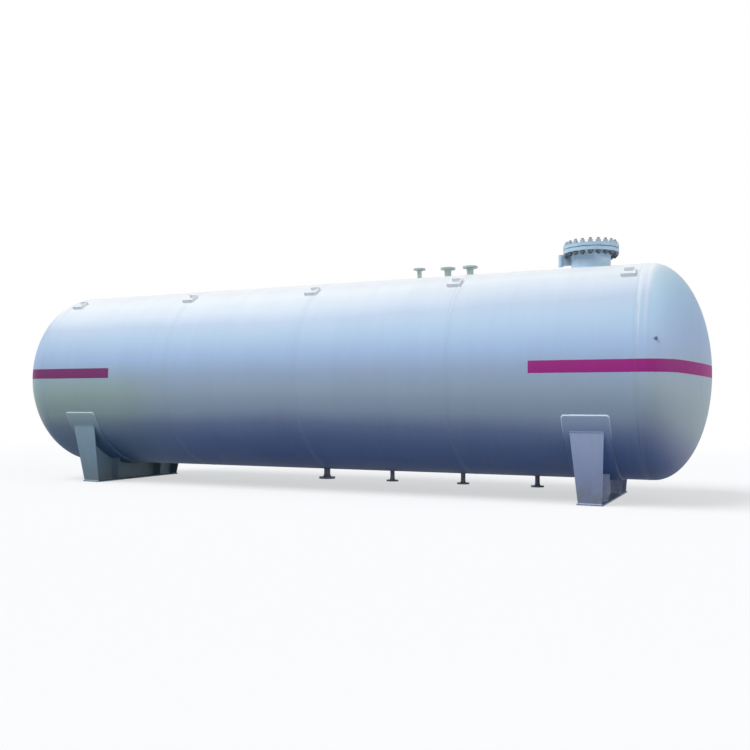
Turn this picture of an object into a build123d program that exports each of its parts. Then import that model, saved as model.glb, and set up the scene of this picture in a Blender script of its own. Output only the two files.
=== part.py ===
from build123d import *
import math
import os

os.makedirs("parts", exist_ok=True)

# Horizontal storage tank on two saddles, in millimetres: X along the tank, Z up, ground at Z = 0

# Vessel
inner_radius = 1300.0
shell_wall = 14.0
outer_radius = inner_radius + shell_wall
seam_to_seam = 8548.0
course_seams = (-2030.0, 30.0, 2090.0)
head_depth = 650.0
head_flange = 40.0

# Saddles
saddle_height = 238.0
fixed_saddle_x = -3640.0
sliding_saddle_x = 3710.0
wear_wall = 12.0
wear_width = 524.0
wear_angle = 66.0
wear_corner = 30.0
base_length = 1880.0
base_width = 300.0
base_wall = 16.0
base_ledge = 10.0
web_wall = 14.0
wing_wall = 12.0
wing_angle = 57.0
wing_foot = base_length / 2 - base_ledge
wing_width_foot = 272.0
wing_width_top = 384.0
rib_wall = 12.0
rib_spacing = 1000.0
anchor_inset = 110.0
anchor_row = 75.0
anchor_radius = 14.0
anchor_slot = 60.0

# Manhole on top, over the saddle at +X
manhole_x = 3575.0
neck_radius = 240.0
neck_wall = 16.0
neck_height = 120.0
manhole_face = 227.0
manhole_flange_wall = 46.0
manhole_hub_swell = 14.0
manhole_raised = 2.0
manhole_pitch_radius = 305.0
manhole_rim_margin = 37.5
manhole_facing_margin = 31.0
manhole_bolt_count = 20
manhole_hole_radius = 19.5
gasket_wall = 4.5
gasket_inner_margin = 10.0
eye_width = 50.0
eye_height = 65.0
eye_wall = 16.0
eye_hole_radius = 12.5

# Davit socket beside the manhole neck
socket_rim_gap = 7.5
socket_radius = 30.0
socket_wall = 7.5
socket_base = 42.0
socket_height = 150.0
bracket_wall = 16.0
bracket_base = 52.0
bracket_height = 124.0

# Weld-neck pipe flanges, each with its pipe: the flange's rim and facing follow its bolt circle
small_flange = {
    "pipe_radius": 30.0,
    "pipe_wall": 5.0,
    "plate_wall": 20.0,
    "hub_height": 48.0,
    "hub_swell": 7.5,
    "pitch_radius": 62.5,
    "rim_margin": 20.0,
    "facing_margin": 11.5,
    "hole_radius": 9.0,
    "hole_count": 4,
}
medium_flange = {
    "pipe_radius": 44.5,
    "pipe_wall": 6.0,
    "plate_wall": 24.0,
    "hub_height": 58.0,
    "hub_swell": 8.0,
    "pitch_radius": 80.0,
    "rim_margin": 20.0,
    "facing_margin": 11.0,
    "hole_radius": 9.0,
    "hole_count": 8,
}
drain_flange = {
    "pipe_radius": 44.5,
    "pipe_wall": 6.0,
    "plate_wall": 28.0,
    "hub_height": 65.0,
    "hub_swell": 15.5,
    "pitch_radius": 90.0,
    "rim_margin": 25.0,
    "facing_margin": 18.0,
    "hole_radius": 13.0,
    "hole_count": 8,
}
raised_face = 2.0

# Where each nozzle stands along the tank, and how far its face is from the shell
top_nozzles = (
    (1255.0, 148.0, small_flange),
    (1668.0, 132.0, medium_flange),
    (1982.0, 132.0, medium_flange),
)
bottom_nozzles = (
    (-154.0, 145.0, drain_flange),
    (860.0, 145.0, small_flange),
    (1882.0, 145.0, small_flange),
    (2880.0, 145.0, small_flange),
)
drilled_margin = 1.0

# Welded pipe clips on the side that faces -Y
clip_stations = (-4130.0, -2050.0, -30.0, 2010.0, 4130.0)
clip_low_angle = 54.0
clip_high_angle = 62.0
clip_length = 160.0
clip_upper_arm = 140.0
clip_bar = 12.0
clip_stand = 40.0

# Derived heights
wear_radius = outer_radius + wear_wall
axis_height = saddle_height + wear_radius
half_length = seam_to_seam / 2
flat = (0, 90, 0)
overcut = 300.0


def save(name, shape):
    shape.label = name
    export_step(shape, "parts/" + name + ".step")


def along_x(radius, start, end):
    # Round bar lying on the tank's axis
    return Pos((start + end) / 2, 0, axis_height) * Cylinder(radius, end - start, rotation=flat)


def dished_solid(radius, depth):
    # Solid dished end with its straight flange, flat side at x = 0
    outline = make_face(
        Wire(
            [
                Line((0, 0), (head_flange + depth, 0)).edge(),
                EllipticalCenterArc((head_flange, 0), depth, radius, 0, arc_size=90).edge(),
                Line((head_flange, radius), (0, radius)).edge(),
                Line((0, radius), (0, 0)).edge(),
            ]
        )
    )
    return revolve(outline, axis=Axis.X)


def side_profile(points, wall, centre_x):
    # Plate of even wall whose outline lies in the YZ plane
    outline = make_face(Polyline(*points, close=True))
    return extrude(Plane.YZ.offset(centre_x - wall / 2) * outline, amount=wall)


# Shell courses: the manhole neck goes through the plate, and each nozzle stands on it over a
# drilled hole a little wider than its bore
seams = (-half_length,) + course_seams + (half_length,)
openings = [(manhole_x, neck_radius, 1)]
for side, nozzles in ((1, top_nozzles), (-1, bottom_nozzles)):
    for x, face, flange in nozzles:
        bore_radius = flange["pipe_radius"] - flange["pipe_wall"]
        openings.append((x, bore_radius + drilled_margin, side))
for number, (start, end) in enumerate(zip(seams, seams[1:]), 1):
    course = along_x(outer_radius, start, end) - along_x(inner_radius, start, end)
    for x, radius, side in openings:
        if start < x < end:
            middle = axis_height + side * inner_radius
            course -= Pos(x, 0, middle) * Cylinder(radius, overcut)
    save("shell_course_" + str(number), course)

# Dished ends
head = dished_solid(outer_radius, head_depth + shell_wall) - dished_solid(inner_radius, head_depth)
save("head_right", Pos(half_length, 0, axis_height) * head)
save("head_left", Pos(-half_length, 0, axis_height) * Rot(0, 0, 180) * head)

# Saddle outline: the wings lean from the foot out to the wear plate
lean = math.radians(wing_angle)
wing_top_y = wear_radius * math.sin(lean)
wing_top_z = axis_height - wear_radius * math.cos(lean)
wing_slope = math.hypot(wing_top_y - wing_foot, wing_top_z - base_wall)
wing_skew = wing_wall * wing_slope / (wing_top_z - base_wall)
wing_rate = (wing_top_y - wing_foot) / (wing_top_z - base_wall)


def wing_side_y(z):
    return wing_foot + wing_rate * (z - base_wall)


def saddle(prefix, centre_x, slotted):
    drum = along_x(wear_radius, centre_x - wear_width, centre_x + wear_width)

    # Wear plate under the shell
    wrap = along_x(wear_radius, centre_x - wear_width / 2, centre_x + wear_width / 2)
    wrap -= along_x(outer_radius, centre_x - wear_width / 2, centre_x + wear_width / 2)
    edge = math.radians(wear_angle)
    reach = 2 * wear_radius
    wedge = side_profile(
        (
            (0, axis_height),
            (-reach * math.sin(edge), axis_height - reach * math.cos(edge)),
            (-reach * math.sin(edge), axis_height - reach),
            (reach * math.sin(edge), axis_height - reach),
            (reach * math.sin(edge), axis_height - reach * math.cos(edge)),
        ),
        wear_width,
        centre_x,
    )
    wrap = wrap & wedge
    corners = [
        e
        for e in wrap.edges()
        if abs(e.length - wear_wall) < 0.01 and e.geom_type == GeomType.LINE
    ]
    wrap = fillet(corners, wear_corner)
    save(prefix + "_wear_plate", wrap)

    # Base plate with four anchor holes
    base = Pos(centre_x, 0, base_wall / 2) * Box(base_width, base_length, base_wall)
    anchor_y = base_length / 2 - anchor_inset
    for y in (-anchor_y, anchor_y):
        for x in (centre_x - anchor_row, centre_x + anchor_row):
            if slotted:
                cutter = extrude(SlotOverall(anchor_slot, 2 * anchor_radius), amount=base_wall)
                base -= Pos(x, y, 0) * cutter
            else:
                base -= Pos(x, y, base_wall / 2) * Cylinder(anchor_radius, base_wall)
    save(prefix + "_base_plate", base)

    # Web across the saddle, cut to the wear plate's curve
    top = wing_top_z + overcut
    web = side_profile(
        (
            (-wing_side_y(base_wall) + wing_skew, base_wall),
            (wing_side_y(base_wall) - wing_skew, base_wall),
            (wing_side_y(top) - wing_skew, top),
            (-wing_side_y(top) + wing_skew, top),
        ),
        web_wall,
        centre_x,
    )
    web -= drum
    save(prefix + "_web_plate", web)

    # Taper shared by the wings and the ribs: wider at the top
    spread = (wing_width_top - wing_width_foot) / (wing_top_z - base_wall)
    half_foot = wing_width_foot / 2
    half_over = (wing_width_foot + spread * (top - base_wall)) / 2
    taper = make_face(
        Polyline(
            (centre_x - half_foot, base_wall),
            (centre_x + half_foot, base_wall),
            (centre_x + half_over, top),
            (centre_x - half_over, top),
            close=True,
        )
    )
    taper = extrude(Plane.XZ * taper, amount=wear_radius, both=True)

    # Slanted wing plates at both ends of the web
    for side, name in ((-1, "_wing_plate_front"), (1, "_wing_plate_back")):
        wing = side_profile(
            (
                (side * wing_side_y(base_wall), base_wall),
                (side * wing_side_y(top), top),
                (side * (wing_side_y(top) - wing_skew), top),
                (side * (wing_side_y(base_wall) - wing_skew), base_wall),
            ),
            2 * wing_width_top,
            centre_x,
        )
        wing = (wing & taper) - drum
        save(prefix + name, wing)

    # Ribs on both faces of the web
    ribs = []
    for y in (-rib_spacing / 2, rib_spacing / 2):
        plate = Pos(centre_x, y, top / 2) * Box(2 * wing_width_top, rib_wall, top)
        plate = (plate & taper) - drum
        plate -= Pos(centre_x, y, top / 2) * Box(web_wall, 2 * rib_wall, top)
        ribs += plate.solids()
    save(prefix + "_stiffening_ribs", Compound(children=ribs))


saddle("fixed_saddle", fixed_saddle_x, False)
saddle("sliding_saddle", sliding_saddle_x, True)


def ring_profile(points):
    # Turned body about the Z axis from points of radius and height
    outline = make_face(Polyline(*points, close=True))
    return revolve(Plane.XZ * outline, axis=Axis.Z)


def bolt_circle(count, pitch_radius, hole_radius, low, high):
    holes = []
    for index in range(count):
        turn = math.radians((index + 0.5) * 360 / count)
        x = pitch_radius * math.cos(turn)
        y = pitch_radius * math.sin(turn)
        holes.append(Pos(x, y, (low + high) / 2) * Cylinder(hole_radius, high - low))
    return holes


# Manhole: neck, flange, gasket, cover, each height measured up from the shell's top
crown = axis_height + outer_radius
at_manhole = Pos(manhole_x, 0, crown)
drum_inside = along_x(inner_radius, manhole_x - 2 * neck_radius, manhole_x + 2 * neck_radius)
neck_bore = neck_radius - neck_wall
rim_radius = manhole_pitch_radius + manhole_rim_margin
facing_radius = manhole_pitch_radius - manhole_facing_margin

neck = Pos(0, 0, (neck_height - overcut) / 2) * Cylinder(neck_radius, neck_height + overcut)
neck -= Pos(0, 0, (neck_height - overcut) / 2) * Cylinder(neck_bore, neck_height + overcut)
save("manhole_neck", at_manhole * neck - drum_inside)

flange_back = manhole_face - manhole_flange_wall
flange_rim = manhole_face - manhole_raised
flange = ring_profile(
    (
        (neck_bore, neck_height),
        (neck_radius, neck_height),
        (neck_radius + manhole_hub_swell, flange_back),
        (rim_radius, flange_back),
        (rim_radius, flange_rim),
        (facing_radius, flange_rim),
        (facing_radius, manhole_face),
        (neck_bore, manhole_face),
    )
)
flange -= bolt_circle(
    manhole_bolt_count, manhole_pitch_radius, manhole_hole_radius, flange_back, manhole_face
)
save("manhole_flange", at_manhole * flange)

gasket_middle = manhole_face + gasket_wall / 2
gasket = Pos(0, 0, gasket_middle) * Cylinder(facing_radius, gasket_wall)
gasket -= Pos(0, 0, gasket_middle) * Cylinder(neck_bore + gasket_inner_margin, gasket_wall)
save("manhole_gasket", at_manhole * gasket)

cover_face = manhole_face + gasket_wall
cover_top = cover_face + manhole_flange_wall
cover = ring_profile(
    (
        (0, cover_face),
        (facing_radius, cover_face),
        (facing_radius, cover_face + manhole_raised),
        (rim_radius, cover_face + manhole_raised),
        (rim_radius, cover_top),
        (0, cover_top),
    )
)
cover -= bolt_circle(
    manhole_bolt_count, manhole_pitch_radius, manhole_hole_radius, cover_face, cover_top
)
save("manhole_cover", at_manhole * cover)

# Lifting eye on the cover
eye_centre = cover_top + eye_height - eye_width / 2
eye = Pos(0, 0, (cover_top + eye_centre) / 2) * Box(eye_width, eye_wall, eye_centre - cover_top)
eye += Pos(0, 0, eye_centre) * Cylinder(eye_width / 2, eye_wall, rotation=(90, 0, 0))
eye -= Pos(0, 0, eye_centre) * Cylinder(eye_hole_radius, eye_wall, rotation=(90, 0, 0))
save("manhole_lifting_eye", at_manhole * eye)

# Davit socket, upright beside the flange's rim and held off the neck by one plate
socket_x = -(rim_radius + socket_rim_gap + socket_radius)
socket_middle = socket_base + socket_height / 2
socket = Pos(socket_x, 0, socket_middle) * Cylinder(socket_radius, socket_height)
socket -= Pos(socket_x, 0, socket_middle) * Cylinder(socket_radius - socket_wall, socket_height)
save("davit_socket", at_manhole * socket)

bracket_middle = bracket_base + bracket_height / 2
bracket = Pos(socket_x / 2, 0, bracket_middle) * Box(-socket_x, bracket_wall, bracket_height)
bracket -= Pos(socket_x, 0, bracket_middle) * Cylinder(socket_radius, bracket_height)
bracket -= Pos(0, 0, bracket_middle) * Cylinder(neck_radius, bracket_height)
bracket = bracket - flange
save("davit_bracket", at_manhole * bracket)


def nozzle(face, sizes):
    # Pipe and weld-neck flange, pointing up from the shell's outside at z = 0
    pipe = sizes["pipe_radius"]
    bore = pipe - sizes["pipe_wall"]
    pitch = sizes["pitch_radius"]
    rim = pitch + sizes["rim_margin"]
    facing = pitch - sizes["facing_margin"]
    back = face - sizes["plate_wall"]
    body = ring_profile(
        (
            (bore, -pipe),
            (pipe, -pipe),
            (pipe, face - sizes["hub_height"]),
            (pipe + sizes["hub_swell"], back),
            (rim, back),
            (rim, face - raised_face),
            (facing, face - raised_face),
            (facing, face),
            (bore, face),
        )
    )
    return body - bolt_circle(sizes["hole_count"], pitch, sizes["hole_radius"], back, face)


# Nozzles, each pipe's end cut to the outside of the shell that it stands on
drum = along_x(outer_radius, -half_length, half_length)
for number, (x, face, sizes) in enumerate(top_nozzles, 1):
    body = Pos(x, 0, crown) * nozzle(face, sizes)
    save("top_nozzle_" + str(number), body - drum)
for number, (x, face, sizes) in enumerate(bottom_nozzles, 1):
    body = Pos(x, 0, axis_height - outer_radius) * Rot(180, 0, 0) * nozzle(face, sizes)
    save("bottom_nozzle_" + str(number), body - drum)


# Pipe clips: a lower arm, a riser and a shorter upper arm, standing on the shell
middle_angle = (clip_low_angle + clip_high_angle) / 2
clip_half = outer_radius * math.radians(clip_high_angle - clip_low_angle) / 2
half = clip_length / 2
rise = clip_half * 2
for number, x in enumerate(clip_stations, 1):
    low = Pos(0, 0, -clip_half + clip_bar / 2) * Box(clip_length, 2 * clip_stand, clip_bar)
    riser = Pos(half - clip_bar / 2, 0, 0) * Box(clip_bar, 2 * clip_stand, rise)
    high = Pos(half - clip_upper_arm / 2, 0, clip_half - clip_bar / 2) * Box(
        clip_upper_arm, 2 * clip_stand, clip_bar
    )
    clip = low + riser + high
    clip = Pos(0, -outer_radius, 0) * clip
    clip = Pos(x, 0, axis_height) * Rot(-middle_angle, 0, 0) * clip
    save("pipe_clip_" + str(number), clip - drum)
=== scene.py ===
import math
import random

import bmesh
import bpy
from mathutils import Matrix, Vector


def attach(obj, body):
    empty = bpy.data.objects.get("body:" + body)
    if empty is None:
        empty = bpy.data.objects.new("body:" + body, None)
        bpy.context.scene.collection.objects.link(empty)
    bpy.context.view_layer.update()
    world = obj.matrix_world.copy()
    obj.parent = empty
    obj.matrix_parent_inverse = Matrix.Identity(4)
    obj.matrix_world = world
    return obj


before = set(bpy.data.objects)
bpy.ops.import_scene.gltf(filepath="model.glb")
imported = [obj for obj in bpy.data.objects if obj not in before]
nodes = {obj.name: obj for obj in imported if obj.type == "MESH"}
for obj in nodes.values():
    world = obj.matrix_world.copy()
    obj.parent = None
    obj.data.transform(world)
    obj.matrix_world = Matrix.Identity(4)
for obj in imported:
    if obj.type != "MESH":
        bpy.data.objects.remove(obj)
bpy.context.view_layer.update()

# sizes of the tank, in metres
tank = {
    "axisHeight": 1.564,
    "outerRadius": 1.314,
    "wearRadius": 1.326,
    "seams": (-4.274, -2.030, 0.030, 2.090, 4.274),
    "halfStraight": 4.274 + 0.040,  # to where the dished ends start to curve
    "headDepth": 0.664,
}
axisHeight = tank["axisHeight"]
outerRadius = tank["outerRadius"]
crown = axisHeight + outerRadius


# the photograph's viewpoint
cameraView = {
    "place": (5.53105, -10.87671, 1.07665),
    "yaw": 0.42645,  # to the left of +Y
    "pitch": 0.0416,
    "roll": 0.00366,
    "lens": 41.044,
    "sensor": 36.0,
    "farthest": 500.0,
}


def addCamera():
    yaw, pitch, roll = cameraView["yaw"], cameraView["pitch"], cameraView["roll"]
    forward = Vector(
        (-math.sin(yaw) * math.cos(pitch), math.cos(yaw) * math.cos(pitch), math.sin(pitch))
    )
    levelRight = Vector((math.cos(yaw), math.sin(yaw), 0))
    levelUp = levelRight.cross(forward)
    right = levelRight * math.cos(roll) + levelUp * math.sin(roll)
    up = levelUp * math.cos(roll) - levelRight * math.sin(roll)
    data = bpy.data.cameras.new("camera")
    data.lens = cameraView["lens"]
    data.sensor_width = cameraView["sensor"]
    data.clip_end = cameraView["farthest"]
    camera = bpy.data.objects.new("camera", data)
    bpy.context.collection.objects.link(camera)
    turn = Matrix((right, up, -forward)).transposed().to_4x4()
    camera.matrix_world = Matrix.Translation(cameraView["place"]) @ turn
    bpy.context.scene.camera = camera


addCamera()
print("camera placed")


def operator(operation, reflected=False):
    def apply(wire, other=0.0):
        first, second = (other, wire) if reflected else (wire, other)
        return wire.add("ShaderNodeMath", {"operation": operation}, {0: first, 1: second})

    return apply


# one value, colour or vector on its way through a node tree
class Wire:
    def __init__(self, tree, socket=None):
        self.tree = tree
        self.socket = socket

    def add(self, kind, settings=None, inputs=None, output=0):
        node = self.tree.nodes.new(kind)
        for name, value in (settings or {}).items():
            if name == "stops":
                ramp = node.color_ramp.elements
                while len(ramp) < len(value):
                    ramp.new(0.5)
                for element, (place, colour) in zip(ramp, value):
                    element.position = place
                    element.color = (*colour, 1)
            else:
                setattr(node, name, value)
        for name, value in (inputs or {}).items():
            if isinstance(value, Wire):
                self.tree.links.new(value.socket, node.inputs[name])
            else:
                node.inputs[name].default_value = value
        return Wire(self.tree, node.outputs[output]) if node.outputs else None

    __add__ = operator("ADD")
    __radd__ = operator("ADD", reflected=True)
    __sub__ = operator("SUBTRACT")
    __rsub__ = operator("SUBTRACT", reflected=True)
    __mul__ = operator("MULTIPLY")
    __rmul__ = operator("MULTIPLY", reflected=True)
    __truediv__ = operator("DIVIDE")
    __pow__ = operator("POWER")
    __abs__ = operator("ABSOLUTE")
    atLeast = operator("MAXIMUM")
    atMost = operator("MINIMUM")
    sine = operator("SINE")

    def rise(self, low, high):
        # 0 below low, 1 above high, smooth between; falls instead where low is the larger
        if low > high:
            return 1 - self.rise(high, low)
        return self.add(
            "ShaderNodeMapRange",
            {"interpolation_type": "SMOOTHSTEP"},
            {"Value": self, "From Min": low, "From Max": high},
        )

    def ramp(self, stops):
        return self.add("ShaderNodeValToRGB", {"stops": stops}, {"Fac": self})

    def tint(self, base, over):
        # this value as the share of the colour over on the colour base
        shade = [v if isinstance(v, Wire) else (*v, 1) for v in (base, over)]
        inputs = {0: self, 6: shade[0], 7: shade[1]}
        return self.add("ShaderNodeMix", {"data_type": "RGBA"}, inputs, output=2)

    def multiplied(self, other):
        # two colours multiplied
        settings = {"data_type": "RGBA", "blend_type": "MULTIPLY"}
        return self.add("ShaderNodeMix", settings, {0: 1.0, 6: self, 7: other}, output=2)

    def asGrey(self):
        return self.add("ShaderNodeCombineColor", {}, {0: self, 1: self, 2: self})


def startTree(owner):
    owner.use_nodes = True
    owner.node_tree.nodes.clear()
    return Wire(owner.node_tree)


def startMaterial(name):
    material = bpy.data.materials.new(name)
    start = startTree(material)
    place = start.add("ShaderNodeTexCoord", output="Object")
    return material, start, place


def finishMaterial(start, colour, rough, normal, metallic=0.0, ior=1.5):
    inputs = {"Base Color": colour, "Roughness": rough, "Normal": normal}
    inputs |= {"Metallic": metallic, "IOR": ior}
    shader = start.add("ShaderNodeBsdfPrincipled", {}, inputs)
    start.add("ShaderNodeOutputMaterial", {}, {"Surface": shader})


def splitPlace(place):
    return [place.add("ShaderNodeSeparateXYZ", {}, {0: place}, output=i) for i in range(3)]


def stretched(place, scales):
    return place.add("ShaderNodeVectorMath", {"operation": "MULTIPLY"}, {0: place, 1: scales})


def highest(wires):
    top = wires[0]
    for wire in wires[1:]:
        top = top.atLeast(wire)
    return top


def noise(place, scale, detail=3.0, roughness=0.5):
    inputs = {"Vector": place, "Scale": scale, "Detail": detail, "Roughness": roughness}
    return place.add("ShaderNodeTexNoise", {}, inputs)


def bump(start, height, strength, distance, under=None):
    inputs = {"Height": height, "Strength": strength, "Distance": distance}
    if under is not None:
        inputs["Normal"] = under
    return start.add("ShaderNodeBump", {}, inputs)


def facingUp(start):
    # -1 where the surface faces the ground, 0 on its sides, 1 where it faces the sky
    normal = start.add("ShaderNodeNewGeometry", output="Normal")
    return splitPlace(normal)[2]


def edgeWear(start, radius, amount):
    # rounded normal, and a mask that is 1 on sharp edges
    rounded = start.add("ShaderNodeBevel", {"samples": 4}, {"Radius": radius})
    flat = start.add("ShaderNodeNewGeometry", output="Normal")
    settings = {"operation": "DOT_PRODUCT"}
    alike = start.add("ShaderNodeVectorMath", settings, {0: rounded, 1: flat}, output="Value")
    return rounded, (1 - alike).rise(0.02, 0.02 + amount)


paintIor = 1.45  # index of refraction


# paint of the shell and the dished ends
tankPaintLook = {
    "stops": (  # colour from where the surface faces the ground to where it faces the sky: painted shade below, a painted highlight above
        (0.00, (0.036, 0.085, 0.220)),
        (0.07, (0.042, 0.105, 0.290)),
        (0.17, (0.112, 0.190, 0.385)),
        (0.24, (0.215, 0.285, 0.480)),
        (0.31, (0.370, 0.460, 0.590)),
        (0.41, (0.385, 0.500, 0.610)),
        (0.50, (0.365, 0.480, 0.650)),
        (0.59, (0.380, 0.525, 0.750)),
        (0.69, (0.395, 0.540, 0.695)),
        (0.76, (0.430, 0.530, 0.660)),
        (0.83, (0.590, 0.665, 0.750)),
        (0.90, (0.735, 0.775, 0.808)),
        (1.00, (0.760, 0.768, 0.776)),
    ),
    "endStops": (  # the same on the right end, with its own painted shade and highlight
        (0.00, (0.040, 0.085, 0.240)),
        (0.17, (0.140, 0.190, 0.360)),
        (0.27, (0.290, 0.330, 0.470)),
        (0.36, (0.440, 0.520, 0.570)),
        (0.44, (0.500, 0.600, 0.630)),
        (0.57, (0.460, 0.590, 0.810)),
        (0.70, (0.430, 0.605, 0.775)),
        (0.83, (0.460, 0.605, 0.700)),
        (0.93, (0.590, 0.655, 0.700)),
        (1.00, (0.720, 0.740, 0.745)),
    ),
    "endFrom": 4.385,
    "climb": 0.010,  # how far the colours of the painted shade shift a metre along the tank
    "darkest": 1.5,  # distance from the middle where the lower half is as the stops say
    "leftShadeTint": (0.98, 1.03, 0.80),  # a tint of the painted shade on the lower half, from castFrom to castTo
    "castFrom": -1.5,
    "castTo": -3.2,
    "besideSeams": (0.30, 0.36, 0.44),
    "closingSeams": (4.290, 4.370),
    # colour of the painted highlight over the closing seam
    "closingHighlight": (0.88, 0.91, 0.94),
    "wearLift": 1.22,  # how much paler the wear plates are
    "bandRight": (0.36, 0.011, 0.215),
    "bandLeft": (0.185, 0.017, 0.13),
    "bandMix": 3.5,  # from the middle to where each of the two is pure
    "bandLow": -0.045,  # from the tank's axis, at the middle of its length
    "bandHigh": 0.0985,
    "bandSlope": -0.0034,  # a metre, towards +X
    "bandDroop": 0.028,  # at the tip of the right end, from droopFrom to droopTo
    "droopFrom": 4.62,
    "droopTo": 5.0,
    "bandLeftStart": 3.015,
    "bandRightStart": 3.092,
    "bandSoft": 0.002,
    "roughness": 0.58,
    "metallic": 0.05,
    "dust": (0.55, 0.55, 0.53),
    "rust": (0.17, 0.075, 0.035),
}


def bandOn(x, z, ragged=0.0):
    # 1 on the coloured band, which runs round both ends
    look = tankPaintLook
    side = (x - look["bandRightStart"]).atLeast(0 - x - look["bandLeftStart"]) + ragged
    droop = x.rise(look["droopFrom"], look["droopTo"]) * look["bandDroop"]
    up = z - axisHeight - x * look["bandSlope"] + droop + ragged
    soft = look["bandSoft"]
    return (
        up.rise(look["bandLow"] - soft, look["bandLow"] + soft)
        * up.rise(look["bandHigh"] + soft, look["bandHigh"] - soft)
        * side.rise(-soft, soft)
    )


def bandColour(x):
    look = tankPaintLook
    return x.rise(-look["bandMix"], look["bandMix"]).tint(look["bandLeft"], look["bandRight"])


def makeTankPaint(name, onWearPlate=False):
    look = tankPaintLook
    material, start, place = startMaterial(name)
    x, _, z = splitPlace(place)
    facing = facingUp(start)
    wander = noise(place, 0.9)
    # painted shade and highlight: the colour follows which way the surface faces, the lower half
    # paler towards the ends and the upper half darker towards +X
    lower = facing.rise(0.0, -0.35) * (abs(x) - look["darkest"])
    upper = facing.rise(0.2, 0.6) * x.atLeast(0.0)
    level = facing * 0.5 + 0.5 + (wander - 0.5) * 0.05 + (lower - upper) * look["climb"]
    colour = level.ramp(look["stops"])
    skyward = facing.rise(0.0, 0.3)
    # the end's colours begin sharply above and softly below
    # the right end takes its own painted shade and highlight
    onEnd = (
        x.rise(look["endFrom"] - 0.02, look["endFrom"] + 0.07) * skyward
        + x.rise(look["endFrom"] - 0.30, look["endFrom"] + 0.25) * (1 - skyward)
    )
    colour = onEnd.tint(colour, level.ramp(look["endStops"]))
    # the painted shade of the lower half, tinted less blue at the left
    leftShadeMask = x.rise(look["castFrom"], look["castTo"]) * facing.rise(0.15, -0.15)
    colour = colour.multiplied(leftShadeMask.tint((1, 1, 1), look["leftShadeTint"]))
    # spray passes: soft upright stripes, and clouds where the coats overlap
    stripes = noise(stretched(place, (6.0, 0.5, 0.35)), 1.0, 4.0, 0.6)
    clouds = noise(place, 2.3, 5.0, 0.55)
    flakes = noise(place, 260.0, 2.0)
    tone = 0.90 + stripes * 0.10 + clouds * 0.08 + flakes * 0.03
    if onWearPlate:
        tone = tone * look["wearLift"]
    colour = colour.multiplied(tone.asGrey())
    # rain streaks below the middle
    runs = noise(stretched(place, (22.0, 1.2, 0.5)), 1.0, 3.0, 0.7)
    streaks = runs.rise(0.52, 0.78) * facing.rise(0.75, -0.1)
    colour = (streaks * 0.09).tint(colour, look["dust"])
    # dust that settles along the crown
    film = noise(stretched(place, (1.2, 3.0, 3.0)), 1.0, 6.0, 0.65).rise(0.42, 0.72)
    colour = (film * facing.rise(0.45, 0.95) * 0.13).tint(colour, look["dust"])
    # a duller line beside every welded seam
    seamMask = highest([abs(x - seam).rise(0.055, 0.012) for seam in tank["seams"]])
    seamDull = seamMask * (0.45 + 0.4 * noise(place, 9.0))
    colour = (seamDull * 0.20).tint(colour, look["besideSeams"])
    # painted highlight in two soft lines over the closing seam of the right end, on its upper part
    first, second = look["closingSeams"]
    seamHighlight = abs(x - first).rise(0.030, 0.002).atLeast(abs(x - second).rise(0.034, 0.0) * 0.7)
    seamHighlight = seamHighlight * facing.rise(-0.1, 0.6) * (0.10 + 0.38 * noise(place, 5.0))
    colour = seamHighlight.tint(colour, look["closingHighlight"])
    rustSpots = noise(place, 34.0, 4.0, 0.65).rise(0.66, 0.74) * seamMask
    colour = (rustSpots * 0.35).tint(colour, look["rust"])
    # rolled plate is a little wavy, and the paint has flakes and orange peel
    wavy = noise(stretched(place, (1.0, 0.8, 0.8)), 1.7, 2.0)
    normal = bump(start, wavy, 0.35, 0.010)
    normal = bump(start, noise(place, 48.0), 0.10, 0.0012, normal)
    normal = bump(start, flakes, 0.10, 0.0004, normal)
    metallic = look["metallic"]
    if not onWearPlate:
        ragged = (noise(place, 60.0, 2.0) - 0.5) * 0.006
        band = bandOn(x, z, ragged)
        faded = noise(stretched(place, (9.0, 9.0, 3.0)), 1.0, 4.0, 0.6)
        colour = band.tint(colour, bandColour(x).multiplied((0.86 + faded * 0.26).asGrey()))
        normal = bump(start, band, 0.5, 0.0004, normal)
        metallic = metallic * (1 - band)
    rough = look["roughness"] + (clouds - 0.5) * 0.16 + streaks * 0.12 + rustSpots * 0.2
    finishMaterial(start, colour, rough, normal, metallic, paintIor)
    return material


# paint of the saddles
saddlePaintLook = {
    "stops": (  # colour by height, from the ground to the top of the wear plates, painted shade darker towards the ground
        (0.00, (0.215, 0.260, 0.380)),
        (0.25, (0.270, 0.325, 0.490)),
        (0.50, (0.345, 0.415, 0.630)),
        (0.82, (0.465, 0.555, 0.770)),
        (1.00, (0.500, 0.590, 0.790)),
    ),
    "topHeight": 1.03,
    "pale": (0.60, 0.67, 0.82),  # towards this where the paint is thin, and as painted light on the sliding saddle's web and ribs
    "leftShadeTint": (0.68, 0.84, 0.70),  # painted shade over the saddle at -X
    "castReach": 3.0,
    "mud": (0.24, 0.215, 0.185),
    "rust": (0.16, 0.070, 0.032),
    "roughness": 0.50,
}


def saddleCast(x):
    # painted shade, darker towards the saddle at -X
    look = saddlePaintLook
    return x.rise(look["castReach"], -look["castReach"]).tint((1, 1, 1), look["leftShadeTint"])


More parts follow.
